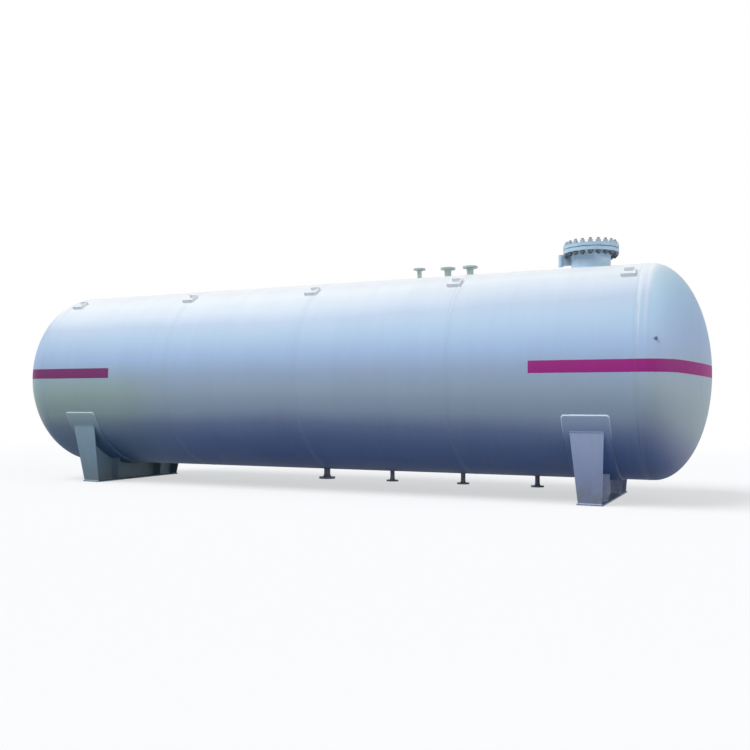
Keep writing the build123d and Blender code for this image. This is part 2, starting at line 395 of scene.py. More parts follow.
def makeSaddlePaint(name, paintedLight=0.0):
    # the last argument is painted light: it adds to the share of the pale colour
    look = saddlePaintLook
    material, start, place = startMaterial(name)
    x, _, z = splitPlace(place)
    rounded, edges = edgeWear(start, 0.003, 0.10)
    clouds = noise(place, 4.5, 5.0, 0.6)
    brushed = noise(stretched(place, (14.0, 14.0, 1.5)), 1.0, 3.0, 0.6)
    # painted shade: darker towards the ground
    colour = (z / look["topHeight"]).ramp(look["stops"])
    colour = (clouds * 0.15 + paintedLight).atMost(1.0).tint(colour, look["pale"])
    colour = colour.multiplied(saddleCast(x))
    colour = colour.multiplied((0.88 + brushed * 0.16 + clouds * 0.08).asGrey())
    mud = z.rise(0.34, 0.0) * noise(place, 12.0, 5.0, 0.65).rise(0.38, 0.70)
    colour = (mud * 0.55).tint(colour, look["mud"])
    chips = (edges * noise(place, 55.0, 4.0, 0.7).rise(0.47, 0.60)).atMost(1.0)
    runs = noise(stretched(place, (26.0, 26.0, 1.1)), 1.0, 3.0, 0.7)
    rust = (chips + runs.rise(0.68, 0.80) * z.rise(0.50, 0.02) * 0.5).atMost(1.0)
    colour = (rust * 0.75).tint(colour, look["rust"])
    rough = look["roughness"] + (clouds - 0.5) * 0.15 + mud * 0.25 + rust * 0.2
    normal = bump(start, noise(place, 120.0), 0.15, 0.0008, rounded)
    normal = bump(start, 1 - rust, 0.35, 0.0006, normal)
    finishMaterial(start, colour, rough, normal, ior=paintIor)
    return material


# paint of the manhole, the nozzles and the clips; turned faces stay bare steel
fittingPaintLook = {
    "manhole": (0.48, 0.66, 0.80),
    # painted shade: the davit's bracket darker than the manhole's paint
    "davit": (0.33, 0.42, 0.54),
    "topNozzle": (0.46, 0.56, 0.55),
    # painted shade: the bottom nozzles darker than the top ones, as shade under the tank
    "bottomNozzleShaded": (0.28, 0.31, 0.37),
    "clip": (0.90, 0.92, 0.93),
    "boss": (0.21, 0.27, 0.37),
    "steel": (0.42, 0.42, 0.41),
    "rust": (0.20, 0.085, 0.040),
    "darkRust": (0.055, 0.032, 0.022),
    "turningMarks": 7854.0,  # radians a metre, 0.8 mm apart
    "roughness": 0.46,
}


def makeFittingPaint(name, base, faceAt=None):
    # faceAt: x, height, outer and inner radius of a turned face round an upright axis
    look = fittingPaintLook
    material, start, place = startMaterial(name)
    x, y, z = splitPlace(place)
    rounded, edges = edgeWear(start, 0.002, 0.12)
    clouds = noise(place, 7.0, 5.0, 0.6)
    brushed = noise(stretched(place, (30.0, 30.0, 5.0)), 1.0, 3.0, 0.6)
    tone = 0.86 + clouds * 0.14 + brushed * 0.12
    colour = tone.asGrey().multiplied((*base, 1))
    chips = (edges * noise(place, 85.0, 4.0, 0.7).rise(0.50, 0.62)).atMost(1.0)
    spots = noise(place, 42.0, 5.0, 0.7).rise(0.68, 0.76)
    rust = (chips * 0.7 + spots * 0.4).atMost(1.0)
    colour = (rust * 0.7).tint(colour, look["rust"])
    rough = look["roughness"] + (clouds - 0.5) * 0.14 + rust * 0.25
    metallic = 0.0
    normal = bump(start, noise(place, 150.0), 0.15, 0.0006, rounded)
    normal = bump(start, 1 - rust, 0.4, 0.0005, normal)
    if faceAt is not None:
        faceX, faceHeight, faceRadius, boreRadius = faceAt
        away = ((x - faceX) ** 2.0 + y ** 2.0) ** 0.5
        level = abs(z - faceHeight).rise(0.0012, 0.0006)
        face = level * away.rise(faceRadius + 0.0006, faceRadius - 0.0006)
        bore = away.rise(boreRadius + 0.0012, boreRadius + 0.0004)
        stained = noise(place, 30.0, 5.0, 0.7).rise(0.40, 0.66)
        steel = (stained * 0.8).tint(look["steel"], look["rust"])
        colour = face.tint(colour, steel)
        colour = bore.tint(colour, look["darkRust"])
        marks = (away * look["turningMarks"]).sine()
        normal = bump(start, marks * face, 0.5, 0.0003, normal)
        rough = rough + face * (stained * 0.30 - 0.10) + bore * 0.3
        metallic = face * (0.85 - stained * 0.7)
    finishMaterial(start, colour, rough, normal, metallic, paintIor)
    return material


gasketLook = {
    "colour": (0.045, 0.046, 0.050),
    "worn": (0.10, 0.095, 0.090),
    "layers": 4200.0,  # radians a metre, 1.5 mm apart
    "roughness": 0.68,
}


def makeGasket(name):
    look = gasketLook
    material, start, place = startMaterial(name)
    z = splitPlace(place)[2]
    fibres = noise(stretched(place, (60.0, 60.0, 400.0)), 1.0, 4.0, 0.6)
    colour = fibres.tint(look["colour"], look["worn"])
    normal = bump(start, fibres, 0.3, 0.0006)
    normal = bump(start, (z * look["layers"]).sine(), 0.2, 0.0003, normal)
    rough = look["roughness"] + (fibres - 0.5) * 0.2
    finishMaterial(start, colour, rough, normal)
    return material


# metal of the studs, nuts and washers
boltLook = {
    "paint": (0.44, 0.52, 0.60),
    "steel": (0.34, 0.34, 0.33),
    "rust": (0.15, 0.065, 0.03),
    # painted shade on the lower nuts, washers and stud ends, below the flange
    "underFlangeShade": (0.050, 0.055, 0.065),
    "shadeBelow": crown + 0.185,
    "roughness": 0.42,
}


def makeBoltMetal(name, painted):
    # painted is the share that the paint reached
    look = boltLook
    material, start, place = startMaterial(name)
    z = splitPlace(place)[2]
    rounded, edges = edgeWear(start, 0.0012, 0.10)
    patches = noise(place, 38.0, 5.0, 0.65)
    worn = (patches.rise(0.62 - painted * 0.05, 0.40) + edges * 0.5).atMost(1.0)
    cover = 1 - worn * (1 - painted * 0.75)
    colour = cover.tint(look["steel"], look["paint"])
    rust = noise(place, 90.0, 5.0, 0.7).rise(0.56, 0.68)
    colour = (rust * 0.45).tint(colour, look["rust"])
    # painted shade: darker below the flange, where its shade falls
    underFlangeShade = z.rise(look["shadeBelow"], look["shadeBelow"] - 0.01) * (0.55 + patches * 0.5)
    colour = underFlangeShade.atMost(0.9).tint(colour, look["underFlangeShade"])
    rough = look["roughness"] + rust * 0.3 + (patches - 0.5) * 0.2
    metallic = (1 - cover) * (1 - rust * 0.8) * 0.8
    normal = bump(start, noise(place, 240.0), 0.2, 0.0004, rounded)
    finishMaterial(start, colour, rough, normal, metallic)
    return material


# paint on the weld beads
beadLook = {
    "saddleShadeHighlightStops": (  # on the saddles, from the ground to the top of the wear plates: painted shade in the middle, a painted highlight at the wings' and wear plates' tops
        (0.00, (0.52, 0.62, 0.76)),
        (0.05, (0.20, 0.25, 0.40)),
        (0.55, (0.060, 0.100, 0.220)),
        (0.72, (0.110, 0.160, 0.300)),
        (0.83, (0.460, 0.530, 0.730)),
        (1.00, (0.76, 0.82, 0.95)),
    ),
    "rust": (0.19, 0.085, 0.040),
    "roughness": 0.50,
    "ripple": 0.0010,
}


def makeBeadPaint(name, base=None, stops=None):
    # one colour, stops by height as on the saddles or, with neither, the tank's colours with their
    # painted shade and highlight
    look = beadLook
    material, start, place = startMaterial(name)
    x, _, z = splitPlace(place)
    clouds = noise(place, 16.0, 4.0, 0.6)
    if stops:
        colour = (z / saddlePaintLook["topHeight"]).ramp(stops)
        colour = colour.multiplied(saddleCast(x))
        colour = colour.multiplied((0.90 + clouds * 0.20).asGrey())
    elif base is None:
        # the tank's painted shade and highlight, by height
        level = (z - axisHeight) / outerRadius * 0.5 + 0.5
        colour = level.ramp(tankPaintLook["stops"])
        colour = colour.multiplied((0.94 + clouds * 0.16).asGrey())
        colour = bandOn(x, z).tint(colour, bandColour(x))
    else:
        colour = (0.88 + clouds * 0.28).asGrey().multiplied((*base, 1))
    spots = noise(place, 70.0, 5.0, 0.7).rise(0.60, 0.72)
    colour = (spots * 0.45).tint(colour, look["rust"])
    rough = look["roughness"] + spots * 0.25
    normal = bump(start, noise(place, 210.0), 0.5, look["ripple"])
    finishMaterial(start, colour, rough, normal)
    return material


tankPaint = makeTankPaint("tankPaint")
wearPlatePaint = makeTankPaint("wearPlatePaint", onWearPlate=True)
saddlePaint = makeSaddlePaint("saddlePaint")
# painted light: the sliding saddle's web and ribs paler, as more light reaches them
slidingWebLitPaint = makeSaddlePaint("slidingWebLitPaint", paintedLight=0.85)
manholePaint, clipPaint, davitShadedPaint, bossPaint = [
    makeFittingPaint(name + "Paint", fittingPaintLook[name])
    for name in ("manhole", "clip", "davit", "boss")
]
gasketBlack = makeGasket("gasketBlack")
nutMetal = makeBoltMetal("nutMetal", 1.0)
studMetal = makeBoltMetal("studMetal", 0.45)
shellBeadPaint = makeBeadPaint("shellBeadPaint")
saddleBeadPaint = makeBeadPaint("saddleBeadPaint", stops=beadLook["saddleShadeHighlightStops"])
fittingBeadPaint = makeBeadPaint("fittingBeadPaint", fittingPaintLook["manhole"])


def dress(name, material):
    for slot in nodes[name].material_slots:
        slot.material = material


for number in range(1, 5):
    dress("shell_course_" + str(number), tankPaint)
for end in ("left", "right"):
    dress("head_" + end, tankPaint)
webPaints = {"fixed_saddle": saddlePaint, "sliding_saddle": slidingWebLitPaint}
for saddleName, webPaint in webPaints.items():
    dress(saddleName + "_wear_plate", wearPlatePaint)
    for part in ("base_plate", "wing_plate_front", "wing_plate_back"):
        dress(saddleName + "_" + part, saddlePaint)
    for part in ("web_plate", "stiffening_ribs"):
        dress(saddleName + "_" + part, webPaint)
for name in ("manhole_neck", "manhole_flange", "manhole_cover", "manhole_lifting_eye"):
    dress(name, manholePaint)
dress("manhole_gasket", gasketBlack)
dress("davit_socket", manholePaint)
dress("davit_bracket", davitShadedPaint)
for number in range(1, 6):
    dress("pipe_clip_" + str(number), clipPaint)

nozzleSizes = {
    # pipe radius, bore radius, facing radius, height of the hub's foot below the face
    "small": (0.0300, 0.0250, 0.0510, 0.048),
    "medium": (0.0445, 0.0385, 0.0690, 0.058),
    "drain": (0.0445, 0.0385, 0.0720, 0.065),
}
nozzles = {
    # x, face height from the shell, size, side
    "top_nozzle_1": (1.255, 0.148, "small", 1),
    "top_nozzle_2": (1.668, 0.132, "medium", 1),
    "top_nozzle_3": (1.982, 0.132, "medium", 1),
    "bottom_nozzle_1": (-0.154, 0.145, "drain", -1),
    "bottom_nozzle_2": (0.860, 0.145, "small", -1),
    "bottom_nozzle_3": (1.882, 0.145, "small", -1),
    "bottom_nozzle_4": (2.880, 0.145, "small", -1),
}
# the bottom nozzles' colour holds painted shade
nozzleColours = {1: fittingPaintLook["topNozzle"], -1: fittingPaintLook["bottomNozzleShaded"]}
for name, (nozzleX, faceHeight, size, side) in nozzles.items():
    _, boreRadius, facingRadius, _ = nozzleSizes[size]
    faceLevel = axisHeight + side * (outerRadius + faceHeight)
    faceAt = (nozzleX, faceLevel, facingRadius, boreRadius)
    dress(name, makeFittingPaint(name + "_paint", nozzleColours[side], faceAt))
print("frame dressed")


# points and faces of a mesh in the making
class Shape:
    def __init__(self):
        self.verts = []
        self.faces = []


def makePiece(name, shape, material, sharpAngle=0.6):
    mesh = bpy.data.meshes.new(name)
    mesh.from_pydata([tuple(v) for v in shape.verts], [], shape.faces)
    work = bmesh.new()
    work.from_mesh(mesh)
    bmesh.ops.recalc_face_normals(work, faces=work.faces)
    work.to_mesh(mesh)
    work.free()
    mesh.polygons.foreach_set("use_smooth", [True] * len(mesh.polygons))
    mesh.set_sharp_from_angle(angle=sharpAngle)
    mesh.materials.append(material)
    piece = bpy.data.objects.new(name, mesh)
    bpy.context.collection.objects.link(piece)
    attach(piece, "root")


def sweep(shape, stations, profile, closed):
    # stations are (point, across, up); the profile is a closed outline in across and up
    verts, faces = shape.verts, shape.faces
    first = len(verts)
    count = len(profile)
    for point, across, up in stations:
        for u, v in profile:
            verts.append(point + across * u + up * v)
    rows = len(stations)
    for row in range(rows if closed else rows - 1):
        here = first + row * count
        ahead = first + (row + 1) % rows * count
        for i in range(count):
            j = (i + 1) % count
            faces.append((here + i, here + j, ahead + j, ahead + i))
    if not closed:
        faces.append(tuple(first + i for i in range(count)))
        faces.append(tuple(first + (rows - 1) * count + i for i in reversed(range(count))))


# outlines of a weld bead in a corner and of one on a seam, in shares of its width and height
filletProfile = ((-0.15, -0.15), (1.0, -0.15), (0.96, 0.10), (0.62, 0.46))
filletProfile += ((0.46, 0.62), (0.10, 0.96), (-0.15, 1.0))
buttProfile = ((-1.0, -0.5), (1.0, -0.5), (0.92, 0.25), (0.60, 0.78))
buttProfile += ((0.0, 1.0), (-0.60, 0.78), (-0.92, 0.25))
beadSizes = {
    "seamHalfWidth": 0.009,
    "seamHeight": 0.0015,
    "seamStep": 0.012,
    "seamGap": 0.006,  # from a lengthwise seam's end to the seam round the tank
    "filletLeg": 0.008,
    "ribLeg": 0.0064,
    "wearLeg": 0.012,
    "wingCapHalf": 0.010,
    "wingCapHeight": 0.006,
    "neckLeg": 0.012,
    "neckRing": (0.009, 0.002, 0.0005),  # half width, height and how far off the pipe
    "nozzleLeg": 0.007,
    "nozzleRing": (0.005, 0.0015, 0.0003),
    "smallLeg": 0.005,
    "step": 0.005,
    "smallStep": 0.004,
    "nozzleStep": 0.003,
    "eyeStep": 0.002,
    "fewestParts": 24,  # of a bead round a pipe
    "ripplePitch": 0.014,
    "ripple": 0.07,
}
chance = random.Random(7)


def spokes(count):
    # level unit vectors, evenly turned
    turns = [2 * math.pi * i / count for i in range(count)]
    return [Vector((math.cos(turn), math.sin(turn), 0)) for turn in turns]


def rippled(stations, amount, closed):
    # swells and narrows the bead along its run, as each weld pool does
    waves = 2 * math.pi / beadSizes["ripplePitch"]
    out = []
    travelled = wander = 0.0
    for index, (point, across, up) in enumerate(stations):
        if index:
            travelled += (point - stations[index - 1][0]).length
        wander = wander * 0.85 + chance.uniform(-1, 1) * 0.03
        toEnd = min(index, len(stations) - 1 - index)
        ends = 1.0 if closed else min(1.0, 0.55 + 0.15 * toEnd)
        size = (1 + amount * math.sin(waves * travelled) + wander) * ends
        out.append((point, across * size, up * size))
    return out


def straightRun(start, end, across, up, step):
    start, end = Vector(start), Vector(end)
    count = max(2, int((end - start).length / step))
    return [(start.lerp(end, i / count), Vector(across), Vector(up)) for i in range(count + 1)]


def onRound(x, angle, radius):
    # point and outward direction on a round about the tank's axis; the angle is from the bottom
    outward = Vector((0, math.sin(angle), -math.cos(angle)))
    return Vector((x, 0, axisHeight)) + outward * radius, outward


def arcRun(x, radius, start, end, across, step, upScale=1.0):
    count = max(2, int(abs(end - start) * radius / step))
    out = []
    for i in range(count + 1):
        angle = start + (end - start) * i / count
        point, outward = onRound(x, angle, radius)
        out.append((point, Vector(across), outward * upScale))
    return out


def addBead(shape, stations, profile, closed=False, amount=beadSizes["ripple"]):
    sweep(shape, rippled(stations, amount, closed), profile, closed)


def addFillet(shape, start, end, across, up, step=beadSizes["step"]):
    addBead(shape, straightRun(start, end, across, up, step), filletProfile)


# welded seams of the shell
shellSeams = {
    "lengthwiseAngles": (130, 105, 130, 105),  # degrees from the bottom, towards the back
    "ripple": 0.05,
}


def makeShellBeads():
    shape = Shape()
    width, height = beadSizes["seamHalfWidth"], beadSizes["seamHeight"]
    step, gap = beadSizes["seamStep"], beadSizes["seamGap"]
    seams, ripple = tank["seams"], shellSeams["ripple"]
    for seam in seams:
        run = arcRun(seam, outerRadius, 0, 2 * math.pi, (width, 0, 0), step, height)[:-1]
        addBead(shape, run, buttProfile, True, ripple)
    for start, end, degrees in zip(seams, seams[1:], shellSeams["lengthwiseAngles"]):
        point, outward = onRound(0, math.radians(degrees), outerRadius)
        across = Vector((1, 0, 0)).cross(outward) * width
        first = Vector((start + gap, point.y, point.z))
        last = Vector((end - gap, point.y, point.z))
        run = straightRun(first, last, across, outward * height, step)
        addBead(shape, run, buttProfile, False, ripple)
    for vert in shape.verts:  # ground flush where the tank is widest
        vert.y = max(-outerRadius, min(outerRadius, vert.y))
    makePiece("weld_beads_shell", shape, shellBeadPaint)


makeShellBeads()
print("shell seams made")


# welds of the saddles
saddles = {
    "centres": {"fixed_saddle": -3.640, "sliding_saddle": 3.710},
    "wearHalfWidth": 0.262,
    "wearAngle": 66.0,
    "wearCorner": 0.030,
    "cornerParts": 8,
    "wingAngle": 57.0,
    "webHalf": 0.007,
    "wingWall": 0.012,
    "baseTop": 0.016,
    "wingFootY": 0.930,
    "wingHalfFoot": 0.136,
    "wingHalfTop": 0.192,
    "wingGap": 0.016,  # radians, from the web's welds to the wing's middle
    "wingDrop": 0.010,  # from the inner corner welds' tops to the wing's top
    "ribY": 0.500,
    "ribHalf": 0.006,
    "ribDrop": 0.004,
}


def wearPlateOutline(centre):
    # two arcs, two straight edges and four rounded corners
    s, step = saddles, beadSizes["step"]
    edge = math.radians(s["wearAngle"])
    corner = s["wearCorner"]
    cornerTurn = corner / outerRadius
    inset = s["wearHalfWidth"] - corner
    outline = []

    def aroundAt(side, angle):
        return Vector((0, math.cos(angle), math.sin(angle))) * side

    def cornerAt(side, end, part):
        # end is 1 for the corner on the side's own arc, -1 for the one across
        turn = math.pi / 2 * part / s["cornerParts"]
        angle = side * (edge - cornerTurn + cornerTurn * math.sin(turn))
        x = centre + end * side * (inset + corner * math.cos(turn))
        point, outward = onRound(x, angle, outerRadius)
        away = Vector((end * side * math.cos(turn), 0, 0)) + aroundAt(side, angle) * math.sin(turn)
        return point, away, outward

    for side in (1, -1):
        reach = side * (edge - cornerTurn)
        x = centre + side * s["wearHalfWidth"]
        outline += arcRun(x, outerRadius, -reach, reach, (side, 0, 0), step)
        parts = range(1, s["cornerParts"])
        outline += [cornerAt(side, 1, part) for part in parts]
        point, outward = onRound(0, side * edge, outerRadius)
        near = (centre + side * inset, point.y, point.z)
        far = (centre - side * inset, point.y, point.z)
        outline += straightRun(near, far, aroundAt(side, side * edge), outward, step)
        outline += [cornerAt(side, -1, part) for part in reversed(parts)]
    leg = beadSizes["wearLeg"]
    return [(point, across * leg, up * leg) for point, across, up in outline]


def makeSaddleBeads(saddleName, centre):
    s = saddles
    shape = Shape()
    leg, ribLeg, step = beadSizes["filletLeg"], beadSizes["ribLeg"], beadSizes["step"]
    wearRadius, baseTop = tank["wearRadius"], s["baseTop"]
    ribNear, ribFar = s["ribY"] - s["ribHalf"], s["ribY"] + s["ribHalf"]
    addBead(shape, wearPlateOutline(centre), filletProfile, True)
    # web to wear plate, between the ribs and wings
    wing = math.radians(s["wingAngle"])
    wingNear = wing - s["wingGap"]
    nearTurn, farTurn = math.asin(ribNear / wearRadius), math.asin(ribFar / wearRadius)
    spans = ((-wingNear, -farTurn), (-nearTurn, nearTurn), (farTurn, wingNear))
    for face in (-1, 1):
        webX = centre + face * s["webHalf"]
        for start, end in spans:
            run = arcRun(webX, wearRadius, start, end, (face * leg, 0, 0), step, leg)
            addBead(shape, run, filletProfile)
    wingTop = onRound(0, wing, wearRadius)[0]
    lean = (wingTop.y - s["wingFootY"]) / (wingTop.z - baseTop)
    skew = s["wingWall"] * math.hypot(1, lean)
    slope = Vector((0, lean, 1)).normalized()
    wingNormal = Vector((0, 1, -lean)).normalized()
    for side in (-1, 1):
        mirror = Vector((1, side, 1))
        # wing to base plate, outside
        y, half = side * s["wingFootY"], s["wingHalfFoot"]
        left, right = (centre - half, y, baseTop), (centre + half, y, baseTop)
        addFillet(shape, left, right, (0, side * leg, 0), slope * mirror * leg)
        # wing to wear plate: a raised cap over the wing's top
        top, outward = onRound(0, side * wing, wearRadius)
        half = s["wingHalfTop"]
        left, right = (centre - half, top.y, top.z), (centre + half, top.y, top.z)
        across = Vector((0, side * math.cos(wing), math.sin(wing))) * beadSizes["wingCapHalf"]
        run = straightRun(left, right, across, outward * beadSizes["wingCapHeight"], step)
        addBead(shape, run, buttProfile)
        for face in (-1, 1):
            webX = centre + face * s["webHalf"]
            # wing to web, in the inside corners
            low = (webX, side * (s["wingFootY"] - skew), baseTop)
            high = (webX, side * (wingTop.y - skew - s["wingWall"]), wingTop.z - s["wingDrop"])
            addFillet(shape, low, high, (face * leg, 0, 0), -(wingNormal * mirror) * leg)
            # each side of each rib, to the web and to the base plate
            for offset in (-1, 1):
                y = side * s["ribY"] + offset * s["ribHalf"]
                ribTop = axisHeight - math.sqrt(wearRadius ** 2 - y * y) - s["ribDrop"]
                ribX = centre + face * s["wingHalfFoot"]
                across = (0, offset * ribLeg, 0)
                foot = (webX, y, baseTop)
                addFillet(shape, foot, (webX, y, ribTop), (face * ribLeg, 0, 0), across)
                addFillet(shape, foot, (ribX, y, baseTop), across, (0, 0, ribLeg))
    # web to base plate, between the ribs and wings
    reach = s["wingFootY"] - skew
    for face in (-1, 1):
        webX = centre + face * s["webHalf"]
        for start, end in ((-reach, -ribFar), (-ribNear, ribNear), (ribFar, reach)):
            left, right = (webX, start, baseTop), (webX, end, baseTop)
            addFillet(shape, left, right, (face * leg, 0, 0), (0, 0, leg))
    makePiece("weld_beads_" + saddleName, shape, saddleBeadPaint)


for saddleName, centre in saddles["centres"].items():
    makeSaddleBeads(saddleName, centre)
print("saddle welds made")


# welds round the manhole, the nozzles and the clips
manhole = {
    "x": 3.575,
    "neckRadius": 0.240,
    "neckHeight": 0.120,
    "flangeBack": 0.181,
    "coverTop": 0.2775,
    "eyeHalfWidth": 0.025,
    "eyeHalfWall": 0.008,
    "pitchRadius": 0.305,
    "boltCount": 20,
    "socketX": -0.380,
    "socketRadius": 0.030,
    "bracketHalf": 0.008,
    "bracketLow": 0.052,
    "bracketHigh": 0.176,
    "bracketCut": 0.060,  # of the bead on the neck, below the flange's hub
}


def pipeSpokes(radius, step):
    return spokes(max(beadSizes["fewestParts"], int(2 * math.pi * radius / step)))


def rootRun(x, radius, side, leg, step):
    # where an upright pipe meets the shell
    run = []
    for out in pipeSpokes(radius, step):
        y = radius * out.y
        drop = math.sqrt(outerRadius ** 2 - y * y)
        point = Vector((x + radius * out.x, y, axisHeight + side * drop))
        outward = Vector((0, y, side * drop)).normalized()
        across = (out - outward * out.dot(outward)).normalized()
        run.append((point, across * leg, Vector((0, 0, side * leg))))
    return run


def ringRun(x, radius, height, sizes, step):
    # level seam round an upright pipe
    width, swell, off = sizes
    radius += off
    centre, across = Vector((x, 0, height)), Vector((0, 0, width))
    return [(centre + out * radius, across, out * swell) for out in pipeSpokes(radius, step)]


def makeManholeBeads():
    m = manhole
    shape = Shape()
    ribLeg, step = beadSizes["ribLeg"], beadSizes["smallStep"]
    root = rootRun(m["x"], m["neckRadius"], 1, beadSizes["neckLeg"], step)
    addBead(shape, root, filletProfile, True)
    neckTop = crown + m["neckHeight"]
    ring = ringRun(m["x"], m["neckRadius"], neckTop, beadSizes["neckRing"], step)
    addBead(shape, ring, buttProfile, True)
    # both faces of the davit's bracket, on the neck and on the socket
    for side in (-1, 1):
        y = side * m["bracketHalf"]
        neckX = m["x"] - math.sqrt(m["neckRadius"] ** 2 - y * y)
        socketX = m["x"] + m["socketX"] + math.sqrt(m["socketRadius"] ** 2 - y * y)
        low, high = crown + m["bracketLow"], crown + m["bracketHigh"]
        for x, away, top in ((neckX, -1, high - m["bracketCut"]), (socketX, 1, high)):
            across, up = (away * ribLeg, 0, 0), (0, side * ribLeg, 0)
            addFillet(shape, (x, y, low), (x, y, top), across, up, step)
    # round the foot of the lifting eye
    width, wall, leg = m["eyeHalfWidth"], m["eyeHalfWall"], beadSizes["smallLeg"]
    level = crown + m["coverTop"]
    corners = [(-width, -wall), (width, -wall), (width, wall), (-width, wall)]
    outwards = [(0, -leg, 0), (leg, 0, 0), (0, leg, 0), (-leg, 0, 0)]
    eyeRun = []
    for start, end, across in zip(corners, corners[1:] + corners[:1], outwards):
        start, end = (m["x"] + start[0], start[1], level), (m["x"] + end[0], end[1], level)
        eyeRun += straightRun(start, end, across, (0, 0, leg), beadSizes["eyeStep"])
    addBead(shape, eyeRun, filletProfile, True, 0.03)
    makePiece("weld_beads_manhole", shape, fittingBeadPaint)


def makeNozzleBeads():
    leg, step = beadSizes["nozzleLeg"], beadSizes["nozzleStep"]
    for side, pieceName in ((1, "weld_beads_top_nozzles"), (-1, "weld_beads_bottom_nozzles")):
        shape = Shape()
        for nozzleX, faceHeight, size, nozzleSide in nozzles.values():
            if nozzleSide != side:
                continue
            pipeRadius, _, _, hubFoot = nozzleSizes[size]
            root = rootRun(nozzleX, pipeRadius, side, leg, step)
            addBead(shape, root, filletProfile, True)
            hub = axisHeight + side * (outerRadius + faceHeight - hubFoot)
            ring = ringRun(nozzleX, pipeRadius, hub, beadSizes["nozzleRing"], step)
            addBead(shape, ring, buttProfile, True)
        paint = makeBeadPaint(pieceName + "_paint", nozzleColours[side])
        makePiece(pieceName, shape, paint)


clips = {  # angles up from the tank's axis
    "stations": (-4.130, -2.050, -0.030, 2.010, 4.130),
    "lowAngle": 54.0,
    "highAngle": 62.0,
    "halfLength": 0.080,
    "upperArm": 0.140,
    "bar": 0.012,
}


def makeClipBeads():
    c = clips
    shape = Shape()
    leg, step = beadSizes["smallLeg"], beadSizes["smallStep"]
    # from the bottom, on the side that faces -Y
    low, high = math.radians(-90 - c["lowAngle"]), math.radians(-90 - c["highAngle"])
    innerLow = low - c["bar"] / outerRadius
    for x in c["stations"]:
        left, right = x - c["halfLength"], x + c["halfLength"]
        for start, end, angle, sign in (
            (left, right, low, 1),
            (left, right - c["bar"], innerLow, -1),
            (right - c["upperArm"], right, high, -1),
        ):
            point, outward = onRound(0, angle, outerRadius)
            around = Vector((0, math.cos(angle), math.sin(angle))) * sign
            first, last = (start, point.y, point.z), (end, point.y, point.z)
            addFillet(shape, first, last, around * leg, outward * leg, step)
        run = arcRun(right, outerRadius, low, high, (leg, 0, 0), step, leg)
        addBead(shape, run, filletProfile)
    makePiece("weld_beads_clips", shape, shellBeadPaint)


makeManholeBeads()
makeNozzleBeads()
makeClipBeads()
print("fitting welds made")


# studs, nuts and washers of the manhole
studs = {
    "radius": 0.018,
    "threadDepth": 0.0022,
    "threadPitch": 0.004,
    "threadSides": 20,
    "threadInNut": 0.004,  # how far a thread goes on inside its nut
    "tip": 0.002,
    "tipCuts": (0.0030, 0.0008),  # off the radius at the tip's two edges
    "topOut": 0.055,  # above the cover
    "bottomOut": 0.050,  # below the flange
    "shift": 0.003,  # each stud stands a little higher or lower than the next
    "nutHalfFlat": 0.0275,
    "nutHeight": 0.029,
    "nutSides": 48,
    "nutFace": 0.96,  # radius of its face, in half flats
    "nutBores": (0.70, 0.72),  # where its seat and its top end inward, in radii of its face
    "coneRise": 0.58,
    "coneParts": 4,
    "washerRadius": 0.033,
    "washerHeight": 0.005,
    "washerSides": 32,
    "washerEdge": 0.0006,
}
sixth = math.pi / 3


def addTurned(shape, centre, rows, sides, radiusAt=lambda turn, row: row[1]):
    # closed solid from rows (height, ...); radiusAt gives the radius by turn and row
    verts, faces = shape.verts, shape.faces
    first = len(verts)
    for row in rows:
        for i in range(sides):
            turn = 2 * math.pi * i / sides
            radius = radiusAt(turn, row)
            x, y = radius * math.cos(turn), radius * math.sin(turn)
            verts.append(Vector((centre.x + x, centre.y + y, centre.z + row[0])))
    for r in range(len(rows) - 1):
        for i in range(sides):
            j = (i + 1) % sides
            here = first + r * sides
            faces.append((here + i, here + j, here + sides + j, here + sides + i))
    faces.append(tuple(first + i for i in reversed(range(sides))))
    faces.append(tuple(first + (len(rows) - 1) * sides + i for i in range(sides)))


def threadRadius(turn, row):
    s = studs
    height, shrink, threaded = row
    phase = (height / s["threadPitch"] + turn / (2 * math.pi)) % 1
    groove = abs(phase - 0.5) * 2
    return s["radius"] - shrink - s["threadDepth"] * groove * threaded


def nutRadius(turn, row):
    cone, nutTurn = row[1:]
    return min(studs["nutHalfFlat"] / math.cos((turn - nutTurn) % sixth - sixth / 2), cone)


def studRows(low, high, threadFrom, threadTo):
    # threaded ends, a plain middle and chamfered tips
    s = studs
    outer, inner = s["tipCuts"]
    rows = [(low, outer, 0.0), (low + s["tip"], inner, 1.0)]
    height = low + s["tip"]
    while height < threadFrom:
        height += s["threadPitch"] / 6
        rows.append((height, 0.0, 1.0))
    height = threadTo
    while height < high - s["tip"]:
        rows.append((height, 0.0, 1.0))
        height += s["threadPitch"] / 6
    return rows + [(high - s["tip"], inner, 1.0), (high, outer, 0.0)]


def nutRows(end, nutTurn):
    # a cone at each face cuts the hexagon's corners
    s = studs
    full = s["nutHalfFlat"] / math.cos(sixth / 2)
    flat = s["nutHalfFlat"] * s["nutFace"]
    drop = (full - flat) * s["coneRise"]
    shares = [part / s["coneParts"] for part in range(s["coneParts"] + 1)]
    cone = [(drop * share, flat + (full - flat) * share) for share in shares]
    seatBore, topBore = s["nutBores"]
    rows = [(0.0, flat * seatBore)] + cone
    rows += [(s["nutHeight"] - height, radius) for height, radius in reversed(cone)]
    rows.append((s["nutHeight"], flat * topBore))
    return [(height * end, radius, nutTurn) for height, radius in rows]


def washerRows(end):
    wide, top, edge = studs["washerRadius"], studs["washerHeight"], studs["washerEdge"]
    rows = ((0.0, wide - edge), (edge, wide), (top - edge, wide), (top, wide - edge))
    return [(height * end, radius) for height, radius in rows]


